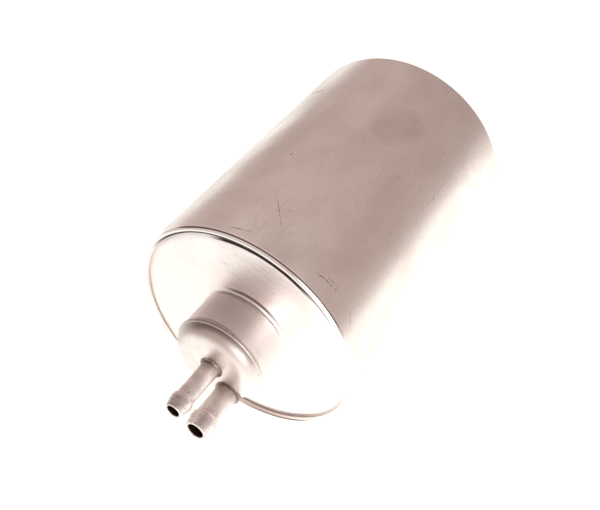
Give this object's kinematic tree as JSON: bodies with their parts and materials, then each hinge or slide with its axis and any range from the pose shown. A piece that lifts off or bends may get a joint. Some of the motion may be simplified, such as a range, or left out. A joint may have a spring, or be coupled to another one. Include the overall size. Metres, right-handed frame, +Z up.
{
  "type": "fuel filter with pressure regulator",
  "caption": "In-line fuel filter: round aluminium can with a rolled rim, a bright cover with a stepped regulator boss, inlet and return hose pipes, and an outlet pipe at the closed end.",
  "frame": {"origin": "on the can's axis, halfway between the rolled rim and the closed end", "axes": "+Y along the can's axis towards the outlet pipe, +Z up with the can lying on its side, +X to the right seen from the end with two pipes"},
  "size_m": [0.084, 0.1795, 0.084],
  "materials": {
    "satin_can": "satin drawn aluminium, fine haze and handling scratches",
    "bright_cover": "bright rolled aluminium, nearly mirror-like with fine rolling lines",
    "turned_cap": "bright pressed aluminium with spun bead",
    "drawn_pipe": "drawn aluminium tube, light handling marks",
    "braze": "dull brazing alloy",
    "paper": "resin-treated filter paper",
    "zinc_steel": "zinc-plated sheet steel",
    "yellow_steel": "yellow passivated steel",
    "spring_steel": "drawn spring wire",
    "brass": "turned brass",
    "polished_ball": "ground and polished ball",
    "black_rubber": "fuel-proof rubber"
  },
  "bodies": {
    "housing": {"can_shell": "satin_can", "end_cover": "bright_cover", "seam_seal": "black_rubber", "port_cap": "turned_cap", "inlet_pipe": "drawn_pipe", "return_pipe": "drawn_pipe", "outlet_pipe": "drawn_pipe", "inlet_braze": "braze", "return_braze": "braze", "outlet_braze": "braze", "pleated_paper": "paper", "seam_clip": "zinc_steel", "centre_tube": "zinc_steel", "closed_disc": "zinc_steel", "open_disc": "zinc_steel", "outlet_grommet": "black_rubber", "element_spring": "spring_steel", "regulator_holder": "zinc_steel", "spring_shell": "yellow_steel", "valve_shell": "yellow_steel", "diaphragm": "black_rubber", "regulator_spring": "spring_steel", "valve_ball": "polished_ball", "ball_cage": "zinc_steel", "ball_spring": "spring_steel", "return_o_ring": "black_rubber", "inlet_screen": "brass"},
    "valve": {"valve_seat": "brass", "spring_collar": "zinc_steel"}
  },
  "joints": [
    {"name": "valve_lift", "type": "slide", "parent": "housing", "child": "valve", "axis": [0, -1, 0], "range_m": [0, 0.0006], "stiffness_N_per_m": 18000, "springref_m": -0.004, "deforming": ["regulator_spring", "diaphragm"]}
  ]
}
